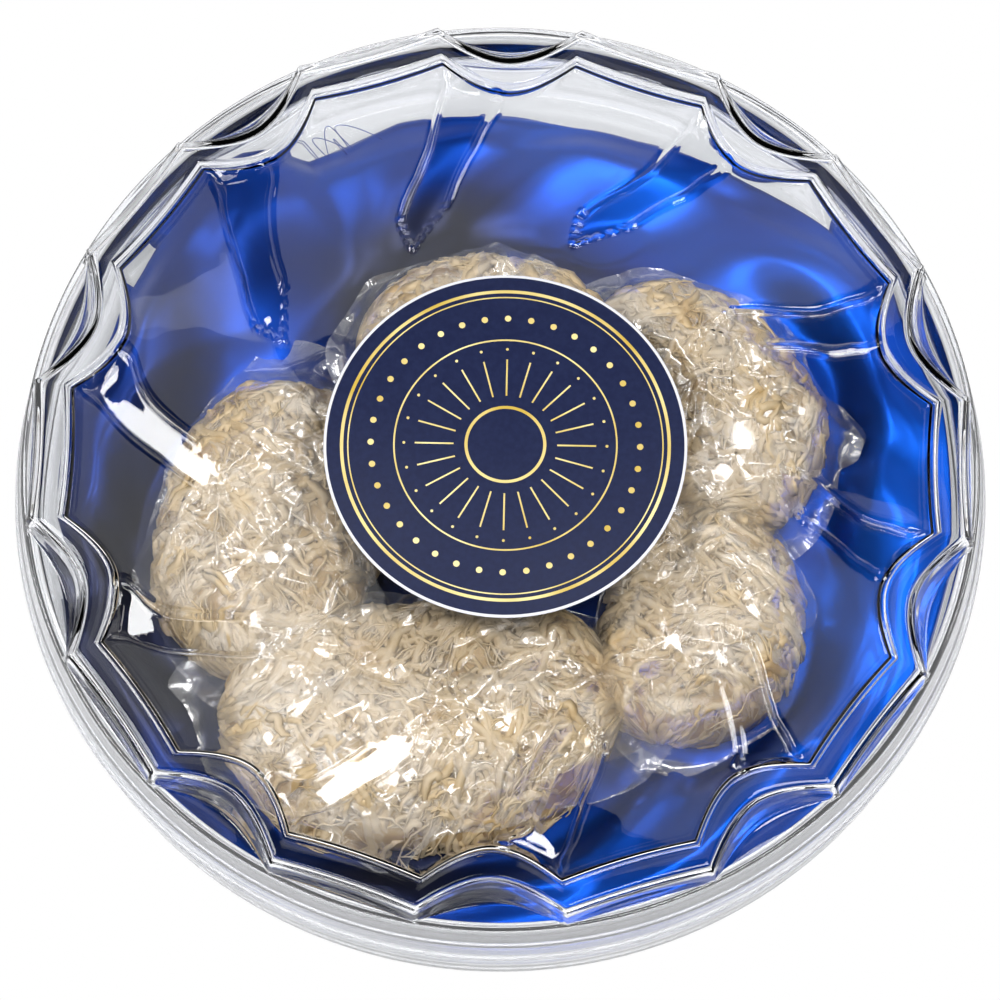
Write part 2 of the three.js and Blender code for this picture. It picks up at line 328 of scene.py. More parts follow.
def lid_rows():
    """Rows of the lid from the middle of its top to the lip and back under it:
    (round radius, share of scallop, foot to top, inset, height, is panel)."""
    outer = []
    for radius in (0, 10, 20, 28, 34, 38, 41, 43.5, 45.5, 47, 48.2,
                   *np.arange(49.0, PANEL_IN, 0.45)):
        outer.append((radius, 0, 1, 0, PANEL_Z, 1))
    for share in np.linspace(0, 1, 24):
        outer.append((PANEL_IN, share, 1, PANEL_FOOT, PANEL_Z, 1))
    for inset, height in ((6.7, 33.26), (6.55, 33.45), (6.45, 33.8), (6.35, 34.15), (6.15, 34.38),
                          (5.85, 34.48), (5.5, 34.5), (3.3, 34.5), (1.1, 34.5), (0.75, 34.46),
                          (0.42, 34.32), (0.18, 34.05), (0.04, 33.7)):
        outer.append((0, 1, 1, inset, height, 0))
    for share in (0.82, 0.55, 0.28, 0.1):
        outer.append((0, 1, share, 0, LEDGE_Z + RIM_RISE * share, 0))
    for share, height in ((0.985, 30.12), (0.95, 30.02), (0.8, LEDGE_Z), (0.5, LEDGE_Z),
                          (0.2, LEDGE_Z), (0, LEDGE_Z)):
        outer.append((LEDGE_R, share, 0, 0, height, 0))
    for radius, height in ((92.5, 29.95), (92.72, 29.8), (92.82, 29.5), (92.95, 28.4), (93.2, 26.4),
                           (93.45, 24.4), (93.6, 23.3), (93.85, 22.9), (94.05, 22.4), (94.05, 21.8),
                           (93.9, 21.3), (94.1, 20.2), (94.4, 18.4), (94.6, 17.2), (94.85, 16.9),
                           (95.0, 16.6), (95.0, 15.3), (94.85, 15.05)):
        outer.append((radius, 0, 0, 0, height, 0))
    inner = []
    for radius, share, top, inset, height, panel in outer:
        if panel and share < 0.9:
            inner.append((radius, share, top, inset, height - LID_WALL, 1))
    inner.append((0, 1, 1, 8.1, 32.1, 0))
    for inset, height in ((7.8, 32.2), (7.6, 32.6), (7.5, 33.0), (7.2, 33.3), (6.8, 33.4),
                          (4.2, 33.4), (2.3, 33.4), (1.75, 33.3), (1.4, 33.0), (1.2, 32.6)):
        inner.append((0, 1, 1, inset, height, 0))
    inner.append((0, 1, 0.1, LID_WALL, 29.4, 0))
    for share, height in ((0.97, 29.02), (0.9, 28.9), (0.5, 28.9), (0, 28.9)):
        inner.append((91.0, share, 0, LID_WALL, height, 0))
    for radius, height in ((91.5, 28.8), (91.7, 28.4), (92.1, 26.4), (92.5, 23.6), (92.9, 22.0),
                           (93.0, 20.2), (93.4, 17.8), (93.85, 16.5), (93.85, 15.3), (94.0, 15.05)):
        inner.append((radius, 0, 0, 0, height, 0))
    return outer + inner[::-1]


PETAL_R = (20, 51, 57, 60, 66, 71, 80, 84)
PETAL_A = (18, 17.5, 12.4, 10.6, 7.8, 5.8, 2.4, 1.57)   # side of a petal that leads inwards
PETAL_B = (24, 24, 21.6, 19.6, 15.4, 12.8, 9.4, 9.0)    # its other side


def column_angles(radius, crown_share):
    """Angles of one lobe's columns from the hollow's middle, at a nominal radius.
    On the panel two sets of close columns follow a petal's sides."""
    crown = np.interp(COLUMN_NUMBERS, (-9, -8, 14, 15, 16, 30, 31),
                      (-9, -8.65, 8.65, 9, 9.35, 26.65, 27))
    a = np.interp(radius, PETAL_R, PETAL_A)
    b = np.interp(radius, PETAL_R, PETAL_B)
    edge = math.degrees(0.7 / max(radius, 20))
    middle = (a + b + PITCH) / 2
    panel = np.interp(COLUMN_NUMBERS, (-9, 4, 6, 14, 16, 31),
                      (middle - PITCH, a - edge, a + edge, b - edge, b + edge, middle))
    return panel + (crown - panel) * crown_share


def petal_drop(radius):
    """How deep the petal lies at each of a lobe's columns: its floor curves down to the wall on
    one side, and a fine bead runs along both sides and round the tip."""
    across = np.clip((COLUMN_NUMBERS - 5) / 10, 0, 1)
    side = np.interp(COLUMN_NUMBERS, (4, 5, 6, 14, 15, 16), (0, 0.5, 1, 1, 0.5, 0))
    bead = np.interp(COLUMN_NUMBERS, (4, 5, 6, 14, 15, 16), (0, 1, 0, 0, 1, 0))
    tip = PETAL_TIP + PETAL_TIP_ROUND * np.abs(2 * across - 1) ** 1.6
    reach = smoothstep(radius - tip, 0.0, 1.3)
    start = 1 - smoothstep(radius, 80.0, 83.5)
    within = (COLUMN_NUMBERS >= 5) & (COLUMN_NUMBERS <= 15)
    nose = within * np.exp(-((radius - tip) / 0.45) ** 2)
    floor = side * reach * np.interp(across, (0, 0.4, 1), PETAL_FLOOR)
    return start * (floor - PETAL_BEAD * np.maximum(bead * reach, nose))


def make_lid():
    """The lid: a plain spun mesh whose points are then set on the rows' true places."""
    rows = lid_rows()
    steps = LOBES * COLUMNS
    profile = [(1 + i, 0.5 * i) for i in range(len(rows))]
    profile[0] = (0, 0)
    profile[-1] = (0, 500)
    bm, row_layer = spun(profile, steps)
    places = np.zeros((len(rows), steps, 3))
    for i, (round_r, share, top, inset, height, panel) in enumerate(rows):
        corner = round_r * (1 - share) + share * (CORNER_TOP - inset)
        crown_share = 1.0 if not panel else float(smoothstep(share, 0.6, 1.0))
        offsets = column_angles(min(corner, 84), crown_share)
        scallop = scallop_radius(offsets, top) - inset
        radius = round_r * (1 - share) + share * scallop
        z = np.full(COLUMNS, float(height))
        if panel:
            z -= petal_drop(radius)
        shift = PETAL_SHIFT * float(1 - smoothstep(corner, 70.0, 84.0)) if panel else 0.0
        for lobe in range(LOBES):
            angle = np.radians(FRONT + lobe * PITCH + offsets)
            part = slice(lobe * COLUMNS, (lobe + 1) * COLUMNS)
            places[i, part, 0] = radius * np.cos(angle)
            places[i, part, 1] = radius * np.sin(angle) + shift
            places[i, part, 2] = z
    for vert in bm.verts:
        column = round(math.atan2(vert.co.y, vert.co.x) / (2 * math.pi) * steps) % steps
        vert.co = places[vert[row_layer], column]
    plastic = clear_plastic_material("lid_plastic", (0.985, 0.99, 1.0), 0.25)
    piece = finish_piece(bm, "lid_clear", plastic, ["lid"])
    milky_walls(piece, ((0, 28.0, 89.0, 0.85),))
    piece.visible_shadow = False
    return piece


# ---------------------------------------------------------------- base and label
LABEL_R, LABEL_LOW, LABEL_TOP = 35.1, 33.5, 33.72
LABEL_AT = (0.9, 3.0)           # the label's middle on the lid
LABEL_NAVY = ((0.35, (0.006, 0.011, 0.050)), (0.7, (0.009, 0.016, 0.062)))
# gold foil, whose darker and paler patches are a painted sheen
LABEL_GOLD = ((0.35, (0.60, 0.42, 0.07)), (0.62, (0.92, 0.80, 0.38)))
LABEL_EDGE = (0.75, 0.76, 0.82, 1)


def make_base():
    """The tray: floor, outer wall, shoulder and the neck that the lid slips over."""
    profile = [
        (0, 0), (60, 0), (88, 0), (91.2, 0), (92.3, 0.12), (92.9, 0.4), (93.25, 0.9), (93.35, 1.5),
        (93.5, 3), (93.8, 8), (94.1, 12.6), (94.2, 13.4), (94.1, 13.8), (93.8, 14.05),
        (92.6, 14.15), (92.1, 14.4), (91.95, 14.9), (91.85, 17), (91.6, 26.6), (91.5, 27.2),
        (91.2, 27.5),
        (90.8, 27.55), (90.5, 27.3), (90.4, 26.8), (90.35, 20), (90.3, 14.4), (90.5, 13.4),
        (91.6, 12.6), (91.9, 11.8), (91.5, 6), (91.2, 2.8), (90.8, 1.8), (90.0, 1.35), (88, 1.3),
        (60, 1.3), (0, 1.3)]
    bm, _ = spun(profile, 200)
    plastic = clear_plastic_material("base_plastic", (0.975, 0.985, 1.0), 0.15)
    piece = finish_piece(bm, "base_clear", plastic, ["base"])
    milky_walls(piece, ((0, 14.0, 89.0, 0.85), (26.3, 28.0, 80.0, 0.3)))
    piece.visible_shadow = False
    return piece


def label_material():
    """Navy varnished paper with plain gold rings, dots and strokes, on Object coordinates; the gold
    carries a painted sheen.
    """
    material, nodes, links, shader, output = new_material("label_print")
    place = nodes.new("ShaderNodeTexCoord")
    shift = nodes.new("ShaderNodeMapping")
    shift.inputs["Location"].default_value = (-LABEL_AT[0] * MM, -LABEL_AT[1] * MM, 0)
    links.new(place.outputs["Object"], shift.inputs["Vector"])
    split = nodes.new("ShaderNodeSeparateXYZ")
    links.new(shift.outputs[0], split.inputs[0])

    def work_out(operation, *values):
        return math_node(nodes, links, operation, *values)

    def length(a, b):
        squares = work_out("ADD", work_out("MULTIPLY", a, a), work_out("MULTIPLY", b, b))
        return work_out("SQRT", squares)

    x, y = split.outputs[0], split.outputs[1]
    radius = length(x, y)
    angle = work_out("ARCTAN2", y, x)

    def ring(at, half):
        """Plain ring: its radius and half its width."""
        off = work_out("ABSOLUTE", work_out("SUBTRACT", radius, at * MM))
        return work_out("LESS_THAN", off, half * MM)

    def dots(at, count, size):
        """Ring of round dots, by the distance from the nearest dot's middle."""
        turn = work_out("MULTIPLY", angle, count / (2 * math.pi))
        nearest = work_out("SUBTRACT", turn, work_out("ROUND", turn))
        arc = work_out("MULTIPLY", nearest, 2 * math.pi * at * MM / count)
        off = work_out("SUBTRACT", radius, at * MM)
        return work_out("LESS_THAN", length(arc, off), size * MM)

    def rays(low, high, count, width):
        """Short straight strokes that stand round the middle."""
        turn = work_out("MULTIPLY", angle, count / (2 * math.pi))
        nearest = work_out("ABSOLUTE", work_out("SUBTRACT", turn, work_out("ROUND", turn)))
        arc = work_out("MULTIPLY", work_out("MULTIPLY", nearest, 2 * math.pi / count), radius)
        thin = work_out("LESS_THAN", arc, width * MM)
        band = work_out("MULTIPLY", work_out("GREATER_THAN", radius, low * MM),
                        work_out("LESS_THAN", radius, high * MM))
        return work_out("MULTIPLY", thin, band)

    gold = ring(31.6, 0.32)
    for part in (ring(30.4, 0.13), ring(21.5, 0.16), dots(26.0, 36, 0.62),
                 rays(10.0, 17.5, 24, 0.16), ring(7.6, 0.3), dots(19.6, 24, 0.28)):
        gold = work_out("MAXIMUM", gold, part)
    edge = work_out("GREATER_THAN", radius, 34.55 * MM)
    grain = noise_node(nodes, links, 900.0, 2.0, 0.5, place.outputs["Object"])
    navy = ramp_node(nodes, links, grain.outputs["Fac"], LABEL_NAVY)
    # painted sheen: noise makes the gold foil's colour paler and darker in patches
    sheen = noise_node(nodes, links, 55.0, 2.0, 0.5, place.outputs["Object"])
    foil = ramp_node(nodes, links, sheen.outputs["Fac"], LABEL_GOLD)
    gilt = nodes.new("ShaderNodeMix")
    gilt.data_type = "RGBA"
    links.new(gold, gilt.inputs["Factor"])
    links.new(navy.outputs[0], gilt.inputs[6])
    links.new(foil.outputs[0], gilt.inputs[7])
    rim = nodes.new("ShaderNodeMix")
    rim.data_type = "RGBA"
    rim.inputs[7].default_value = LABEL_EDGE
    links.new(edge, rim.inputs["Factor"])
    links.new(gilt.outputs[2], rim.inputs[6])
    links.new(rim.outputs[2], shader.inputs["Base Color"])
    shader.inputs["Specular IOR Level"].default_value = 0.2
    rough = range_node(nodes, links, grain.outputs["Fac"], 0.42, 0.55)
    links.new(rough.outputs[0], shader.inputs["Roughness"])
    bump_node(nodes, links, gold, shader, 0.3, 0.00004)
    return material


def make_label():
    low, high, edge = LABEL_LOW, LABEL_TOP, LABEL_R
    profile = [(0, low), (edge - 0.1, low), (edge, low + 0.04), (edge, high - 0.05),
               (edge - 0.1, high), (0, high)]
    bm, _ = spun(profile, 180)
    bmesh.ops.translate(bm, vec=(*LABEL_AT, 0), verts=bm.verts)
    return finish_piece(bm, "label_disc", label_material(), ["label"])


# ---------------------------------------------------------------- satin lining
# the cloth's edge going round: angle, radius, height of the edge, height of its roll
CLOTH_EDGE = (
    (-180, 86.6, 10, 13.5), (-171, 87.0, 11, 14), (-160, 88.6, 13.5, 16), (-140, 89.0, 14, 17),
    (-90, 89.0, 14, 17), (-45, 89.0, 14, 17), (0, 89.0, 13.5, 16.5), (30, 89.0, 12, 15),
    (39, 88.2, 9.5, 13), (48, 87.0, 7, 11), (56, 85.9, 5.5, 9.5), (64, 84.9, 4.5, 9),
    (72, 84.0, 3.6, 8.6), (81, 83.7, 3.2, 8.4), (90, 84.4, 3.4, 8.4), (98, 85.4, 3.6, 8.6),
    (105, 85.8, 3.8, 9), (113, 83.6, 3.6, 9), (119, 83.6, 5, 10), (123, 86.5, 12, 13.5),
    (127, 88.6, 15, 15.2), (132, 88.6, 15.2, 15.6), (139, 87.4, 14, 15.6), (148, 85.3, 12, 15),
    (158, 84.2, 10.5, 14), (164, 84.4, 10, 13), (169, 87.0, 10.5, 13), (180, 86.6, 10, 13.5))
EDGE_ANGLE, EDGE_R, EDGE_Z, ROLL_Z = np.array(CLOTH_EDGE).T
CLOTH_LOW = 6.3                 # top of the cloth under the nests
CLOTH_FLOOR = 2.4               # the lowest that a valley between the folds may lie
CLOTH_THICK = 0.25
CLOTH_LIMIT = 89.6              # the cloth stays inside the base's wall
CLOTH_ROWS, TUCK_ROWS, CLOTH_STEPS = 88, 18, 400
TUCK_LOW = 1.75                 # the edge tucked under, on the base's floor
TUCK_IN = 13                    # how far the tucked edge reaches back inwards
# degrees that a fold turns for each millimetre inwards, at angles going round
SWIRL_AT = (-180, -120, -60, -20, 8, 45, 90, 130, 180)
SWIRL = (1.1, 1.5, 1.9, 1.4, 0.6, 0.5, 1.0, 0.6, 1.1)
FOLD_R = 74                     # the radius at which the folds' angles are given
FOLD_HEIGHT = 0.26
# folds where they cross that radius: angle, and slope from -1, falling, to 1, rising
CLOTH_FOLDS = (
    (-180, 0.2), (-174, -0.8), (-166, 0.6), (-158, -1), (-146, 0.8), (-132, 0.3), (-120, -0.5),
    (-105, 0.6), (-92, -0.8), (-80, 0.5), (-70, -1), (-60, 0.5), (-46, 0.9), (-30, -1),
    (-20, -0.9), (-10, 0.9), (0, 0.7), (7, -1), (13, 0.6), (20, -1), (30, 0.8), (38, 0.4),
    (47, -1), (56, -0.6), (66, 0.9), (78, 0.3), (88, -0.8), (98, 0.8), (107, -0.6), (116, 0.7),
    (128, 0.3), (140, -0.4), (150, 0.9), (161, 0.2), (170, -0.7), (180, 0.2))
# the satin's colours; the charcoal and navy stops are painted shade, in the dark patches and inside
# the nests' ring
SATIN_TONES = ((0.34, (0.016, 0.020, 0.05)), (0.43, (0.001, 0.016, 0.12)),
               (0.54, (0.0006, 0.042, 0.32)), (0.68, (0.0015, 0.078, 0.50)))
SATIN_SHEEN = (0.45, 0.6, 1.0, 1)
# painted shade: how much darker the cloth's colour is made inside the nests' ring, and the radii in
# metres between which that ends; it reaches farther out on the left
VALLEY_SHADE, RIDGE_SHADE, SHADE_FROM, SHADE_TO, SHADE_SLANT = -0.15, 0.03, 0.056, 0.072, 0.2


def cloth_fold_heights():
    """Height of the folds over a full turn: the flanks' slopes added up, closed on itself."""
    angles = np.arange(-180, 180, 0.5)
    slope = np.interp(angles, [a for a, _ in CLOTH_FOLDS], [s for _, s in CLOTH_FOLDS])
    slope -= slope.mean()
    height = np.cumsum(slope)
    height -= np.linspace(0, height[-1], len(height))
    kernel = np.hanning(13)
    wrapped = np.concatenate([height[-12:], height, height[:12]])
    smooth = np.convolve(wrapped, kernel / kernel.sum(), mode="same")[12:-12]
    return angles, smooth - smooth.mean()


def cloth_height(share, angle, radius, folds):
    """Height of the cloth's top at a share of the way out, an angle in degrees and a radius,
    and the fold's height that comes on top of it."""
    edge_z = np.interp(angle, EDGE_ANGLE, EDGE_Z)
    roll_z = np.interp(angle, EDGE_ANGLE, ROLL_Z)
    rise = smoothstep(share, 0.6, 0.9)
    fall = smoothstep(share, 0.9, 1.0) ** 1.5
    z = CLOTH_LOW + (roll_z - CLOTH_LOW) * rise - (roll_z - edge_z) * fall
    turned = (angle - np.interp(angle, SWIRL_AT, SWIRL) * (FOLD_R - radius) + 180) % 360 - 180
    fold = np.interp(turned, folds[0], folds[1])
    envelope = smoothstep(share, 0.42, 0.7) * (1 - 0.75 * smoothstep(share, 0.93, 1.0))
    return z, FOLD_HEIGHT * fold * envelope


def satin_material():
    """Blue satin: dark and pale patches, with painted shade in the dark ones and inside the nests'
    ring, a sheen, and a fine weave.
    """
    material, nodes, links, shader, output = new_material("blue_satin")
    place = nodes.new("ShaderNodeTexCoord")
    flow = noise_node(nodes, links, 17.0, 1.5, 0.4, place.outputs["Object"])
    flat = nodes.new("ShaderNodeVectorMath")
    flat.operation = "MULTIPLY"
    flat.inputs[1].default_value = (1, 1, 0)
    links.new(place.outputs["Object"], flat.inputs[0])
    outwards = nodes.new("ShaderNodeVectorMath")
    outwards.operation = "LENGTH"
    links.new(flat.outputs[0], outwards.inputs[0])
    sides = nodes.new("ShaderNodeSeparateXYZ")
    links.new(place.outputs["Object"], sides.inputs[0])
    # painted shade: the noise's tone is lowered inside the nests' ring, and farther out on the left
    slanted = math_node(nodes, links, "MULTIPLY_ADD", sides.outputs["X"], SHADE_SLANT,
                        outwards.outputs["Value"])
    valley = range_node(nodes, links, slanted, VALLEY_SHADE, RIDGE_SHADE, SHADE_FROM, SHADE_TO)
    shaded = math_node(nodes, links, "ADD", flow.outputs["Fac"], valley.outputs[0])
    tone = ramp_node(nodes, links, shaded, SATIN_TONES)
    links.new(tone.outputs[0], shader.inputs["Base Color"])
    shader.inputs["Metallic"].default_value = 0.9
    shader.inputs["Anisotropic"].default_value = 0.5
    shader.inputs["Sheen Weight"].default_value = 0.08
    shader.inputs["Sheen Roughness"].default_value = 0.35
    shader.inputs["Sheen Tint"].default_value = SATIN_SHEEN
    rough = range_node(nodes, links, flow.outputs["Fac"], 0.34, 0.44)
    links.new(rough.outputs[0], shader.inputs["Roughness"])
    stretch = nodes.new("ShaderNodeMapping")
    stretch.inputs["Scale"].default_value = (5200, 900, 900)
    stretch.inputs["Rotation"].default_value = (0, 0, 0.6)
    links.new(place.outputs["Object"], stretch.inputs["Vector"])
    weave = noise_node(nodes, links, 1.0, 2.0, 0.6, stretch.outputs[0])
    bump_node(nodes, links, weave.outputs["Fac"], shader, 0.06, 0.00005)
    return material


THREADS, THREAD_POINTS, THREAD_R = 5, 24, 0.09
THREAD_LOW, THREAD_RISE = 4.5, 3.5


def make_threads():
    """Loose threads that curl out of the cloth's cut edge at the far left."""
    draw = random.Random(11)
    threads = []
    for _ in range(THREADS):
        start = math.radians(draw.uniform(112, 121))
        length, curl = draw.uniform(0.06, 0.11), draw.uniform(0.6, 2.4)
        root, reach = draw.uniform(81.5, 83), draw.uniform(3.0, 6.5)
        thread = []
        for i in range(THREAD_POINTS):
            t = i / (THREAD_POINTS - 1)
            angle = start + length * t * math.cos(curl * t)
            radius = root + reach * math.sin(math.pi * t) + 0.4 * math.sin(6 * t + curl)
            thread.append((Vector((radius * math.cos(angle), radius * math.sin(angle),
                                   THREAD_LOW + THREAD_RISE * math.sin(math.pi * t))), THREAD_R))
        threads.append(thread)
    return strand_piece("satin_threads", threads, satin_material())


def make_lining():
    """The cloth: it swirls up from the middle to a roll along the wall and is tucked under."""
    profile = [(float(i), 0.0) for i in range(CLOTH_ROWS + TUCK_ROWS)]
    bm, row_layer = spun(profile, CLOTH_STEPS)
    row = np.array([vert[row_layer] for vert in bm.verts])
    angle = np.degrees(np.arctan2([v.co.y for v in bm.verts], [v.co.x for v in bm.verts]))
    share = np.minimum(row / (CLOTH_ROWS - 1), 1) ** 0.75
    tuck = np.maximum(row - (CLOTH_ROWS - 1), 0) / TUCK_ROWS
    radius = share * np.interp(angle, EDGE_ANGLE, EDGE_R)
    x, y = radius * np.cos(np.radians(angle)), radius * np.sin(np.radians(angle))
    z, fold = cloth_height(share, angle, radius, cloth_fold_heights())
    swell = np.sin(x * 0.21 + 1.3 * np.sin(y * 0.13)) + np.sin(y * 0.24 + x * 0.11)
    z += 0.35 * swell * smoothstep(share, 0.3, 0.6)
    free = np.ones(len(z))
    for nest in NESTS:
        free = free * smoothstep(nest_reach(nest, x, y, 1.2), 1.0, 1.45)
    z = np.maximum(CLOTH_LOW + (z - CLOTH_LOW) * free + fold * free ** 0.4, CLOTH_FLOOR)
    down, inward = smoothstep(tuck, 0.0, 0.55), smoothstep(tuck, 0.4, 1.0)
    wave = 0.5 * np.sin(np.radians(angle) * 17) + 0.4 * np.sin(np.radians(angle) * 29)
    radius = radius + down * (0.9 + 0.5 * wave) * (1 - inward) - TUCK_IN * inward
    radius = np.minimum(radius, CLOTH_LIMIT)
    x, y = radius * np.cos(np.radians(angle)), radius * np.sin(np.radians(angle))
    z = z + (TUCK_LOW - z) * down
    for i, vert in enumerate(bm.verts):
        vert.co = (x[i], y[i], z[i])
    piece = finish_piece(bm, "satin_cloth", satin_material(), ["satin_lining"])
    wall = piece.modifiers.new("thickness", "SOLIDIFY")
    wall.thickness = CLOTH_THICK * MM
    wall.offset = -1
    threads = make_threads()
    return piece


# ---------------------------------------------------------------- nests
# place, direction of the long axis, length, width, height, bend
NESTS = (
    (-14.5, -45.2, 4, 79, 52, 21, 0.08),
    (38.4, -26.0, 80, 49, 41, 20, 0.08),
    (38.8, 19.4, 131, 58, 43, 21, 0.08),
    (-3.5, 32.0, 181, 52, 36, 18, 0.1),
    (-44.3, -7.8, 260, 63, 46, 20, 0.05))
NEST_LOW = 7.0
END_POWER, SIDE_POWER, OUTLINE_ROOT = 2.4, 2.2, 2.3     # how square a nest's outline is
TAPER = 2.9                     # how bluntly its ends close
DOME = 0.8
BODY_INSET = -1.1               # the inner mass lies this far under the nest's surface
IVORY_TONES = ((0.3, (0.52, 0.33, 0.13)), (0.43, (0.74, 0.555, 0.31)), (0.64, (0.83, 0.68, 0.48)))
# the inner mass's colours: the nest's own gold, made darker as painted shade where it shows in the
# hollows between strands
GOLD_AND_SHADE_TONES = ((0.3, (0.40, 0.24, 0.09)), (0.7, (0.76, 0.55, 0.28)))
STRANDS_PER_MM = 27             # tries at a strand for each millimetre of a nest's length
BUNDLE_SHARE = 0.6              # the rest are fine single strands
STRAND_POINTS = 10


def nest_reach(nest, x, y, extra):
    """1 on a nest's outline grown by extra, less inside it, more outside."""
    turn = math.radians(nest[2])
    dx, dy = x - nest[0], y - nest[1]
    along = dx * math.cos(turn) + dy * math.sin(turn)
    across = dy * math.cos(turn) - dx * math.sin(turn)
    along = along / (nest[3] / 2 + extra)
    across = across / (nest[4] / 2 + extra) - 0.2 * (along * along - 0.5)
    return (np.abs(along) ** END_POWER + np.abs(across) ** SIDE_POWER) ** (1 / OUTLINE_ROOT)


def nest_point(nest, along, across, lift=0.0):
    """Point on a nest's top: along its length and across its width from -1 to 1."""
    x0, y0, turn, length, width, height, bend = nest
    along = max(-0.985, min(0.985, along))
    across = max(-1.0, min(1.0, across))
    taper = (1 - abs(along) ** TAPER) ** 0.5
    dome = math.sqrt(max(0.0, 1 - across * across))
    hollow = 0.3 * math.exp(-(((across - 0.34) / 0.26) ** 2))
    z = height * taper ** DOME * dome * (1 - hollow)
    x = along * length / 2
    y = across * width / 2 * taper + bend * width * (along * along - 0.5)
    normal = Vector((along * 0.5, across, 0.6 + dome)).normalized()
    point = Vector((x, y, z)) + normal * lift
    point.z = max(point.z, 0.1)
    c, s = math.cos(math.radians(turn)), math.sin(math.radians(turn))
    return Vector((x0 + c * point.x - s * point.y, y0 + s * point.x + c * point.y,
                   NEST_LOW + point.z))


def fibre_material(name, tones):
    """Dried nest fibres, ivory to gold."""
    material, nodes, links, shader, output = new_material(name)
    place = nodes.new("ShaderNodeTexCoord")
    patch = noise_node(nodes, links, 75.0, 4.0, 0.6, place.outputs["Object"])
    tone = ramp_node(nodes, links, patch.outputs["Fac"], tones)
    links.new(tone.outputs[0], shader.inputs["Base Color"])
    rough = range_node(nodes, links, patch.outputs["Fac"], 0.3, 0.55)
    links.new(rough.outputs[0], shader.inputs["Roughness"])
    fine = noise_node(nodes, links, 700.0, 3.0, 0.6, place.outputs["Object"])
    bump_node(nodes, links, fine.outputs["Fac"], shader, 0.3, 0.0002)
    return material


def nest_body(nest, number, material):
    """The dense inner mass of a nest, dented by its bundles."""
    bm = bmesh.new()
    bmesh.ops.create_uvsphere(bm, u_segments=96, v_segments=64, radius=1)
    for vert in bm.verts:
        ux, uy, uz = vert.co.z, vert.co.x, vert.co.y
        ring = math.hypot(uy, uz)
        cy = uy / ring if ring > 1e-6 else 0.0
        if uz >= 0:
            dent = noise.noise(Vector((ux * 5, cy * 10, number))) * 1.2
            vert.co = nest_point(nest, ux * 0.96, cy * 0.95, BODY_INSET + dent)
        else:
            low = nest_point(nest, ux * 0.96, cy * 0.95, BODY_INSET)
            low.z = NEST_LOW + 0.1
            vert.co = low
    return finish_piece(bm, f"nest_{number}_body", material, [f"nest_{number}"])


def strand_piece(name, strands, material):
    """Many fine strands, each a list of (point, radius), as one mesh in millimetres."""
    curve = bpy.data.curves.new(name, "CURVE")
    curve.dimensions = "3D"
    curve.bevel_depth = 1.0
    curve.bevel_resolution = 0
    curve.use_fill_caps = True
    for strand in strands:
        spline = curve.splines.new("POLY")
        spline.points.add(len(strand) - 1)
        spline.points.foreach_set("co", [c for point, _ in strand for c in (*point, 1.0)])
        spline.points.foreach_set("radius", [radius for _, radius in strand])
    maker = bpy.data.objects.new(name + "_curve", curve)
    bpy.context.scene.collection.objects.link(maker)
    evaluated = maker.evaluated_get(bpy.context.evaluated_depsgraph_get())
    mesh = bpy.data.meshes.new_from_object(evaluated)
    bpy.data.objects.remove(maker)
    bm = bmesh.new()
    bm.from_mesh(mesh)
    bpy.data.meshes.remove(mesh)
    return finish_piece(bm, name, material, [], outward=False)


def nest_strands(nest, seed):
    """Flat bundles and fine strands that lie along a nest in slanting, crumbly rows."""
    draw = random.Random(seed)
    strands = []
    for _ in range(int(STRANDS_PER_MM * nest[3])):
        bundle = draw.random() < BUNDLE_SHARE
        span = draw.uniform(0.1, 0.26) if bundle else draw.uniform(0.1, 0.45)
        middle = draw.uniform(-0.99, 0.99)
        across = draw.uniform(-0.99, 0.99)
        place = Vector((middle * 2.6, across * 3.0, seed * 3.7))
        if noise.noise(place) > 0.16 and draw.random() < 0.85:
            continue
        row = math.sin(middle * nest[3] * 0.42 + 2.2 * noise.noise(place * 0.7))
        drift = 0.2 * row + 0.3 * noise.noise(place * 0.9 + Vector((9, 5, 2))) + draw.gauss(0, 0.05)
        wave = draw.uniform(0.01, 0.05)
        phase = draw.uniform(0, 6.28)
        bunch = noise.noise(Vector((middle * 4, across * 8, seed))) * 1.5
        if bundle:
            lift, thick = bunch + draw.uniform(-1.5, -0.5), draw.uniform(0.55, 1.3)
        else:
            lift, thick = bunch + draw.uniform(-1.1, 0.0), draw.uniform(0.14, 0.34)
        strand = []
        for i in range(STRAND_POINTS):
            t = i / (STRAND_POINTS - 1) * 2 - 1
            a = middle + t * span / 2 + 0.012 * math.sin(phase + 8 * t)
            b = across + drift * t + wave * math.sin(phase + 5 * t)
            rim = max(abs(a), abs(b))
            hump = lift + 0.35 * math.sin(phase + 3.1 * t) - 0.9 * smoothstep(rim, 0.75, 1.0)
            strand.append((nest_point(nest, a, b, hump), thick * (1 - 0.6 * abs(t) ** 3)))
        strands.append(strand)
    return strands


def make_nests():
    ivory = fibre_material("nest_fibre", IVORY_TONES)
    # the inner mass is darker: partly the nest's own gold, partly painted shade in the hollows
    # between strands
    gold = fibre_material("nest_gold_and_shade", GOLD_AND_SHADE_TONES)
    for number, nest in enumerate(NESTS, 1):
        nest_body(nest, number, gold)
        strands = strand_piece(f"nest_{number}_strands", nest_strands(nest, number), ivory)
        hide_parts(f"nest_{number}")


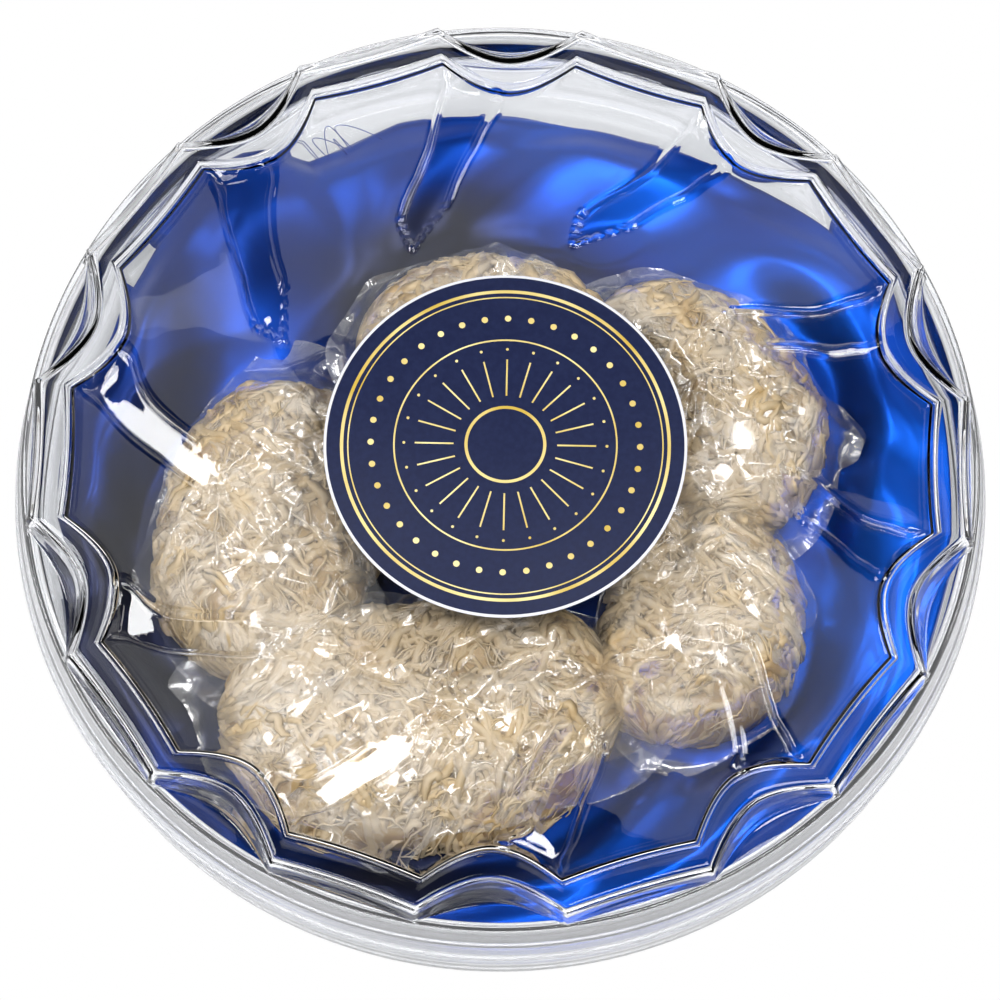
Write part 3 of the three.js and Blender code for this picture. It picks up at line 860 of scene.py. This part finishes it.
# ---------------------------------------------------------------- clear film
FILM_GLOSS = (0.95, 0.94, 0.93, 1)
FILM_CLEAR = (0.98, 0.98, 0.98, 1)
FILM_LEAST, FILM_MOST = 0.19, 0.92      # share of gloss seen square on and at a glancing angle
FILM_STEPS = (150, 110)
FILM_LIFT = 0.9                 # room between a nest and its film
FILM_LIMIT, FILM_TOP = 87.5, 30.0       # the films stay inside the walls and under the lid
STRETCH_ROUNDS = 40             # how often the sheet is pulled straight between its high places
FILM_CREASES = ((25, 1.9, 3), (12.5, 1.3, 4), (6.5, 0.6, 3))    # spacing, height, how many
FILM_PINCHES, PINCH_REACH, PINCH_HEIGHT = 7, 14, 1.25
# corners of each sheet that stick out: towards an angle, and how far
FILM_TIPS = (((175, 3), (-105, 3), (-18, 5)), ((12, 3),), ((-7, 6), (38, 3)), ((60, 3), (150, 2)),
             ((205, 4), (95, 3)))


def film_material():
    """Thin clear film: see-through, with the bright gloss of its creases."""
    material, nodes, links, shader, output = new_material("clear_film")
    shader.inputs["Base Color"].default_value = FILM_GLOSS
    shader.inputs["Metallic"].default_value = 0.9
    cloud = noise_node(nodes, links, 90.0, 3.0, 0.5)
    rough = range_node(nodes, links, cloud.outputs["Fac"], 0.14, 0.26)
    links.new(rough.outputs[0], shader.inputs["Roughness"])
    clear = nodes.new("ShaderNodeBsdfTransparent")
    clear.inputs["Color"].default_value = FILM_CLEAR
    facing = nodes.new("ShaderNodeLayerWeight")
    facing.inputs["Blend"].default_value = 0.3
    share = range_node(nodes, links, facing.outputs["Fresnel"], FILM_LEAST, FILM_MOST)
    mix_shaders(nodes, links, share.outputs[0], clear.outputs[0], shader.outputs[0],
                output.inputs["Surface"])
    return material


def zigzag(t):
    """Sharp wave from -1 at each whole number to 1 half way between."""
    return np.abs(t - np.floor(t + 0.5)) * 4 - 1


def crease(x, y, draw, spacing, height):
    """Straight sharp pleats across a sheet: height at each point."""
    turn = draw.uniform(0, math.pi)
    phase = draw.uniform(0, 1)
    bend = (0.25 * np.sin(x / spacing * 0.7 + phase * 6)
            + 0.25 * np.sin(y / spacing * 0.6 + phase * 9))
    ridge = zigzag((x * math.cos(turn) + y * math.sin(turn)) / spacing + phase + bend)
    strength = 0.4 + 0.6 * np.sin(x / spacing * 0.37 + y / spacing * 0.29 + phase * 11)
    return height * ridge * strength


def pinch(x, y, draw, place, reach):
    """Pleats that spread like a star from one pinched point."""
    dx, dy = x - place[0], y - place[1]
    far = np.hypot(dx, dy)
    pleats = draw.choice((5, 6, 7, 8))
    ridge = zigzag(np.arctan2(dy, dx) / (2 * math.pi) * pleats + draw.uniform(0, 1))
    return PINCH_HEIGHT * ridge * np.minimum(far / 5, 1) * np.exp(-(far / reach) ** 2)


def make_film(nest, number, material):
    """A crumpled sheet of film over one nest, its margins lying out on the cloth."""
    draw = random.Random(40 + number)
    x0, y0, turn, length, width, height, bend = nest
    columns, lines = FILM_STEPS
    bm = bmesh.new()
    bmesh.ops.create_grid(bm, x_segments=columns, y_segments=lines, size=1)
    u = np.array([vert.co.x for vert in bm.verts])
    v = np.array([vert.co.y for vert in bm.verts])
    order = np.lexsort((np.round(u, 4), np.round(v, 4)))
    shape = (lines + 1, columns + 1)
    u, v = u[order].reshape(shape), v[order].reshape(shape)
    dx, dy = u * np.sqrt(1 - v * v / 2), v * np.sqrt(1 - u * u / 2)
    share, angle = np.hypot(dx, dy), np.arctan2(dy, dx)
    outline = ((np.abs(np.cos(angle)) / (length / 2)) ** END_POWER
               + (np.abs(np.sin(angle)) / (width / 2)) ** SIDE_POWER) ** (-1 / OUTLINE_ROOT)
    margin = 2.2 + 1.1 * np.sin(3 * angle + number) + 0.6 * np.sin(7 * angle + 2 * number)
    for towards, reach in FILM_TIPS[number - 1]:
        off = np.abs((angle - math.radians(towards - turn) + math.pi) % (2 * math.pi) - math.pi)
        margin += reach * np.maximum(0, 1 - off / 0.35)
    radius = share * (outline + margin)
    x, y = radius * np.cos(angle), radius * np.sin(angle)
    along = x / (length / 2)
    middle = bend * width * (np.minimum(along ** 2, 1.2) - 0.5)
    y = y + middle
    taper = np.maximum(1 - np.abs(along) ** TAPER, 0) ** 0.5
    across = (y - middle) / np.maximum(width / 2 * taper, 0.1)
    base_z = height * taper ** DOME * np.sqrt(np.maximum(1 - across ** 2, 0))
    z = base_z
    for _ in range(STRETCH_ROUNDS):
        padded = np.pad(z, 1, mode="edge")
        around = (padded[2:, 1:-1] + padded[:-2, 1:-1] + padded[1:-1, 2:] + padded[1:-1, :-2]) / 4
        z = np.maximum(base_z, around)
    z = z + FILM_LIFT
    fold = np.zeros(shape)
    for spacing, high, count in FILM_CREASES:
        for _ in range(count):
            fold += crease(x, y, draw, spacing, high) / math.sqrt(count) * 1.5
    for _ in range(FILM_PINCHES):
        place = (draw.uniform(-0.4, 0.4) * length, draw.uniform(-0.4, 0.4) * width)
        fold += pinch(x, y, draw, place, PINCH_REACH)
    z = np.maximum(z + np.maximum(fold, -FILM_LIFT), 0.2)
    c, s = math.cos(math.radians(turn)), math.sin(math.radians(turn))
    wx, wy = x0 + c * x - s * y, y0 + s * x + c * y
    far = np.hypot(wx, wy)
    keep = np.minimum(1, FILM_LIMIT / np.maximum(far, 1))
    wx, wy = wx * keep, wy * keep
    wz = np.minimum(NEST_LOW + z, FILM_TOP)
    points = np.stack([wx, wy, wz], axis=-1).reshape(-1, 3)
    verts = list(bm.verts)
    for i, place in enumerate(order):
        verts[place].co = points[i]
    bmesh.ops.triangulate(bm, faces=bm.faces, quad_method="SHORT_EDGE")
    return finish_piece(bm, f"film_{number}", material, [f"film_wrap_{number}"])


def make_films():
    material = film_material()
    for number, nest in enumerate(NESTS, 1):
        film = make_film(nest, number, material)
        film.visible_shadow = False


# ---------------------------------------------------------------- floor
FLOOR_R = 3.0                   # metres
FLOOR_TONES = ((0.3, (0.88, 0.89, 0.91)), (0.7, (0.90, 0.91, 0.93)))


def make_floor():
    """Pale paper under the box, plain white where the camera sees it straight."""
    bm = bmesh.new()
    bmesh.ops.create_circle(bm, cap_ends=True, segments=64, radius=FLOOR_R)
    mesh = bpy.data.meshes.new("floor")
    bm.to_mesh(mesh)
    bm.free()
    floor = bpy.data.objects.new("floor", mesh)
    floor.location.z = -0.0002
    material, nodes, links, shader, output = new_material("floor_paper")
    grain = noise_node(nodes, links, 3.0)
    pale = ramp_node(nodes, links, grain.outputs["Fac"], FLOOR_TONES)
    links.new(pale.outputs[0], shader.inputs["Base Color"])
    shader.inputs["Roughness"].default_value = 0.9
    path = nodes.new("ShaderNodeLightPath")
    lit = nodes.new("ShaderNodeEmission")
    mix_shaders(nodes, links, path.outputs["Is Camera Ray"], shader.outputs[0], lit.outputs[0],
                output.inputs["Surface"])
    floor.data.materials.append(material)
    bpy.context.scene.collection.objects.link(floor)


# ---------------------------------------------------------------- the whole scene
scene = bpy.context.scene
scene.view_settings.view_transform = "Standard"
scene.cycles.caustics_refractive = False
scene.cycles.caustics_reflective = False
scene.cycles.max_bounces = 10
scene.cycles.transmission_bounces = 10
scene.cycles.transparent_max_bounces = 12
scene.cycles.diffuse_bounces = 1
scene.cycles.glossy_bounces = 2
scene.cycles.adaptive_threshold = 0.04

make_camera()
make_studio()
make_floor()
make_lid()
make_base()
make_label()
make_lining()
make_nests()
make_films()
